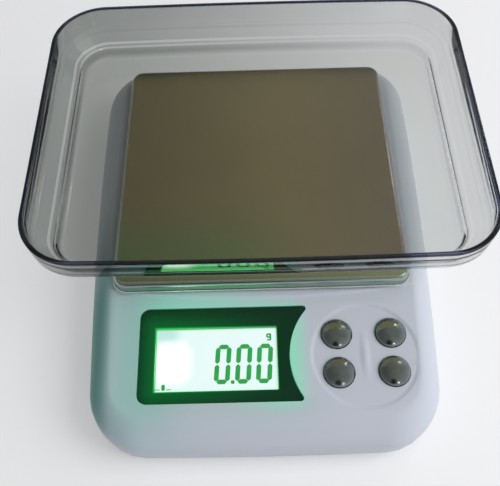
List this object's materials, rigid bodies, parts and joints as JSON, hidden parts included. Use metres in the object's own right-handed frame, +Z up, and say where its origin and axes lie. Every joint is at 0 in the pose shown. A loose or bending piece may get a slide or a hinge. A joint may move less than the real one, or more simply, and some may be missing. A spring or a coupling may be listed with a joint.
{
  "type": "precision laboratory scale",
  "caption": "Compact precision bench scale with a backlit display, chromed dome keys, a square steel pan and a smoked lift-off weighing tray.",
  "frame": {"origin": "on the table, under the middle of the whole outline, tray included", "axes": "+Z up, +Y from the display towards the tray's back, +X to the user's right; the user faces +Y"},
  "size_m": [0.203, 0.2188, 0.0643],
  "materials": {
    "white_plastic": "satin moulded",
    "inner_plastic": "plain moulded",
    "window_plastic": "polished dark",
    "lcd_glass": "backlit green",
    "guide_acrylic": "frosted",
    "chromed": "mirror",
    "pan_steel": "satin",
    "smoked_plastic": "polished smoked clear",
    "black_rubber": "matte",
    "grey_rubber": "matte",
    "cell_aluminium": "milled",
    "zinc_steel": "zinc plated",
    "board_laminate": "solder mask",
    "battery_sleeve": "film",
    "red_jacket": "satin",
    "black_jacket": "satin",
    "grey_jacket": "satin"
  },
  "bodies": {
    "chassis": {"upper_housing": "white_plastic", "base_housing": "white_plastic", "rubber_foot_1": "black_rubber", "rubber_foot_2": "black_rubber", "rubber_foot_3": "black_rubber", "rubber_foot_4": "black_rubber", "housing_screw_1": "zinc_steel", "housing_screw_2": "zinc_steel", "housing_screw_3": "zinc_steel", "housing_screw_4": "zinc_steel", "display_window": "window_plastic", "lcd_glass": "lcd_glass", "light_guide": "guide_acrylic", "contact_strip": "grey_rubber", "lcd_frame": "inner_plastic", "main_board": "board_laminate", "board_screw_1": "zinc_steel", "board_screw_2": "zinc_steel", "board_screw_3": "zinc_steel", "board_screw_4": "zinc_steel", "key_mat": "grey_rubber", "load_cell": "cell_aluminium", "gauge_lead": "grey_jacket", "fixed_end_spacer": "zinc_steel", "base_screw_1": "zinc_steel", "base_screw_2": "zinc_steel", "dry_cell_1": "battery_sleeve", "dry_cell_2": "battery_sleeve", "contact_link": "zinc_steel", "contact_positive": "zinc_steel", "contact_negative": "zinc_steel", "battery_lead_red": "red_jacket", "battery_lead_black": "black_jacket"},
    "platform": {"pan_carrier": "inner_plastic", "free_end_spacer": "zinc_steel", "carrier_screw_1": "zinc_steel", "carrier_screw_2": "zinc_steel"},
    "pan": {"weighing_pan": "pan_steel"},
    "tray": {"weighing_tray": "smoked_plastic"},
    "button_left_back": {"key_left_back": "chromed"},
    "button_right_back": {"key_right_back": "chromed"},
    "button_left_front": {"key_left_front": "chromed"},
    "button_right_front": {"key_right_front": "chromed"},
    "cover": {"battery_cover": "white_plastic"}
  },
  "joints": [
    {"name": "platform_press", "type": "slide", "parent": "chassis", "child": "platform", "axis": [0, 0, 1], "range_m": [-0.0005, 0], "stiffness_N_per_m": 10000, "springref_m": 0.0004, "deforming": ["load_cell"]},
    {"name": "pan_lift", "type": "slide", "parent": "platform", "child": "pan", "axis": [0, 0, 1], "range_m": [0, 0.03]},
    {"name": "tray_lift", "type": "slide", "parent": "pan", "child": "tray", "axis": [0, 0, 1], "range_m": [0, 0.05]},
    {"name": "key_left_back_press", "type": "slide", "parent": "chassis", "child": "button_left_back", "axis": [0, -0.0976, 0.9952], "range_m": [-0.0008, 0], "stiffness_N_per_m": 800, "springref_m": 0.0003, "deforming": ["key_mat"]},
    {"name": "key_right_back_press", "type": "slide", "parent": "chassis", "child": "button_right_back", "axis": [0, -0.0976, 0.9952], "range_m": [-0.0008, 0], "stiffness_N_per_m": 800, "springref_m": 0.0003, "deforming": ["key_mat"]},
    {"name": "key_left_front_press", "type": "slide", "parent": "chassis", "child": "button_left_front", "axis": [0, -0.0976, 0.9952], "range_m": [-0.0008, 0], "stiffness_N_per_m": 800, "springref_m": 0.0003, "deforming": ["key_mat"]},
    {"name": "key_right_front_press", "type": "slide", "parent": "chassis", "child": "button_right_front", "axis": [0, -0.0976, 0.9952], "range_m": [-0.0008, 0], "stiffness_N_per_m": 800, "springref_m": 0.0003, "deforming": ["key_mat"]},
    {"name": "battery_cover_swing", "type": "hinge", "parent": "chassis", "child": "cover", "pos_m": [-0.052, -0.00705, 0.0041], "axis": [-1, 0, 0], "range_deg": [0, 80]}
  ]
}
